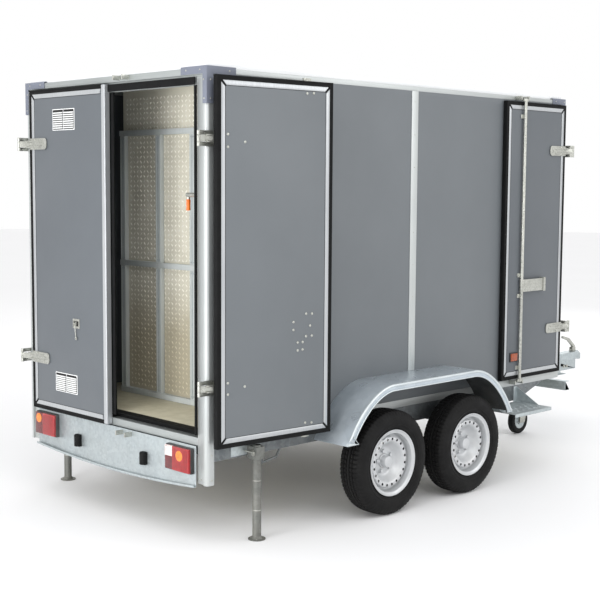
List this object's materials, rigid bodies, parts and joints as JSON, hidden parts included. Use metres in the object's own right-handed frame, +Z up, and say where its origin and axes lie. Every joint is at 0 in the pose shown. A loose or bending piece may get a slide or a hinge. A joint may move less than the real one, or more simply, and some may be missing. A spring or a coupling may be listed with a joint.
{
  "type": "box trailer",
  "caption": "Tandem-axle walled box trailer with double rear doors, a side door, an upright loading ramp, fold-down rear stabilisers, ball coupling and jockey wheel.",
  "frame": {"origin": "centre of the straight wall of the coupling's ball socket", "axes": "+X forward towards the coupling, +Y left, +Z up"},
  "size_m": [4.536, 2.083, 2.335],
  "materials": {
    "galvanised": "satin galvanised",
    "zinc": "zinc plated",
    "aluminium": "satin anodised",
    "grey_panel": "satin",
    "white_roof": "gloss",
    "floor_board": "coated plywood",
    "cap_plastic": "matte",
    "black_rubber": "matte",
    "red_lens": "gloss",
    "amber_lens": "gloss",
    "tread_plate": "raised pattern",
    "tyre": "matte",
    "silver_rim": "satin silver"
  },
  "bodies": {
    "trailer_body": {"chassis_frame": "galvanised", "drawbar": "galvanised", "front_crossbeam": "galvanised", "coupling_head": "zinc", "coupling_handle": "zinc", "jockey_outer_tube": "zinc", "rear_axle": "galvanised", "front_axle": "galvanised", "floor_panel": "floor_board", "left_wall": "grey_panel", "right_wall": "grey_panel", "front_wall": "grey_panel", "roof_panel": "white_roof", "joint_strips": "aluminium", "rear_posts": "aluminium", "front_posts": "aluminium", "top_rails": "aluminium", "bottom_rails": "aluminium", "rear_header": "aluminium", "rear_sill": "aluminium", "corner_caps": "cap_plastic", "tail_panel": "galvanised", "tail_lights": "red_lens", "rubber_buffers": "black_rubber", "left_fender": "galvanised", "right_fender": "galvanised", "side_step": "galvanised", "hinge_brackets": "zinc", "lock_keepers": "zinc", "left_side_marker": "amber_lens", "ramp_frame": "aluminium", "ramp_plate": "tread_plate", "ramp_latch": "zinc", "stabiliser_brackets": "galvanised"},
    "jockey_tube": {"jockey_inner_tube": "zinc"},
    "jockey_caster": {"jockey_fork": "zinc"},
    "jockey_roller": {"jockey_wheel": "black_rubber"},
    "left_back_door": {"left_rear_door": "grey_panel", "left_rear_door_trim": "aluminium", "left_rear_door_hinges": "zinc"},
    "right_back_door": {"right_rear_door": "grey_panel", "right_rear_door_trim": "aluminium", "right_rear_door_hinges": "zinc", "right_rear_door_lock": "zinc"},
    "front_side_door": {"side_door": "grey_panel", "side_door_trim": "aluminium", "side_door_hinges": "zinc", "side_door_lock": "zinc", "right_side_marker": "amber_lens"},
    "left_leg": {"left_stabiliser": "galvanised"},
    "right_leg": {"right_stabiliser": "galvanised"},
    "rear_left_wheel": {"rear_left_tyre": "tyre", "rear_left_rim": "silver_rim"},
    "rear_right_wheel": {"rear_right_tyre": "tyre", "rear_right_rim": "silver_rim"},
    "front_left_wheel": {"front_left_tyre": "tyre", "front_left_rim": "silver_rim"},
    "front_right_wheel": {"front_right_tyre": "tyre", "front_right_rim": "silver_rim"}
  },
  "joints": [
    {"name": "jockey_height", "type": "slide", "parent": "trailer_body", "child": "jockey_tube", "axis": [0, 0, 1], "range_m": [-0.14, 0.08]},
    {"name": "jockey_swivel", "type": "hinge", "parent": "jockey_tube", "child": "jockey_caster", "pos_m": [-1.01, -0.20815, -0.23], "axis": [0, 0, 1], "continuous": true},
    {"name": "jockey_spin", "type": "hinge", "parent": "jockey_caster", "child": "jockey_roller", "pos_m": [-1.055, -0.20815, -0.335], "axis": [0, 1, 0], "continuous": true},
    {"name": "left_rear_door_hinge", "type": "hinge", "parent": "trailer_body", "child": "left_back_door", "pos_m": [-4.49, 0.785, 0.954], "axis": [0, 0, -1], "range_deg": [0, 265]},
    {"name": "right_rear_door_hinge", "type": "hinge", "parent": "trailer_body", "child": "right_back_door", "pos_m": [-4.49, -0.785, 0.954], "axis": [0, 0, 1], "range_deg": [-265, 0]},
    {"name": "side_door_hinge", "type": "hinge", "parent": "trailer_body", "child": "front_side_door", "pos_m": [-1.404, -0.831, 0.99], "axis": [0, 0, 1], "range_deg": [0, 265]},
    {"name": "left_stabiliser_fold", "type": "hinge", "parent": "trailer_body", "child": "left_leg", "pos_m": [-4.16, 0.8, 0.008], "axis": [0, -1, 0], "range_deg": [0, 85]},
    {"name": "right_stabiliser_fold", "type": "hinge", "parent": "trailer_body", "child": "right_leg", "pos_m": [-4.16, -0.8, 0.008], "axis": [0, -1, 0], "range_deg": [0, 85]},
    {"name": "rear_left_wheel_spin", "type": "hinge", "parent": "trailer_body", "child": "rear_left_wheel", "pos_m": [-3.335, 0.945, -0.145], "axis": [0, 1, 0], "continuous": true},
    {"name": "rear_right_wheel_spin", "type": "hinge", "parent": "trailer_body", "child": "rear_right_wheel", "pos_m": [-3.335, -0.945, -0.145], "axis": [0, 1, 0], "continuous": true},
    {"name": "front_left_wheel_spin", "type": "hinge", "parent": "trailer_body", "child": "front_left_wheel", "pos_m": [-2.66, 0.945, -0.145], "axis": [0, 1, 0], "continuous": true},
    {"name": "front_right_wheel_spin", "type": "hinge", "parent": "trailer_body", "child": "front_right_wheel", "pos_m": [-2.66, -0.945, -0.145], "axis": [0, 1, 0], "continuous": true}
  ]
}
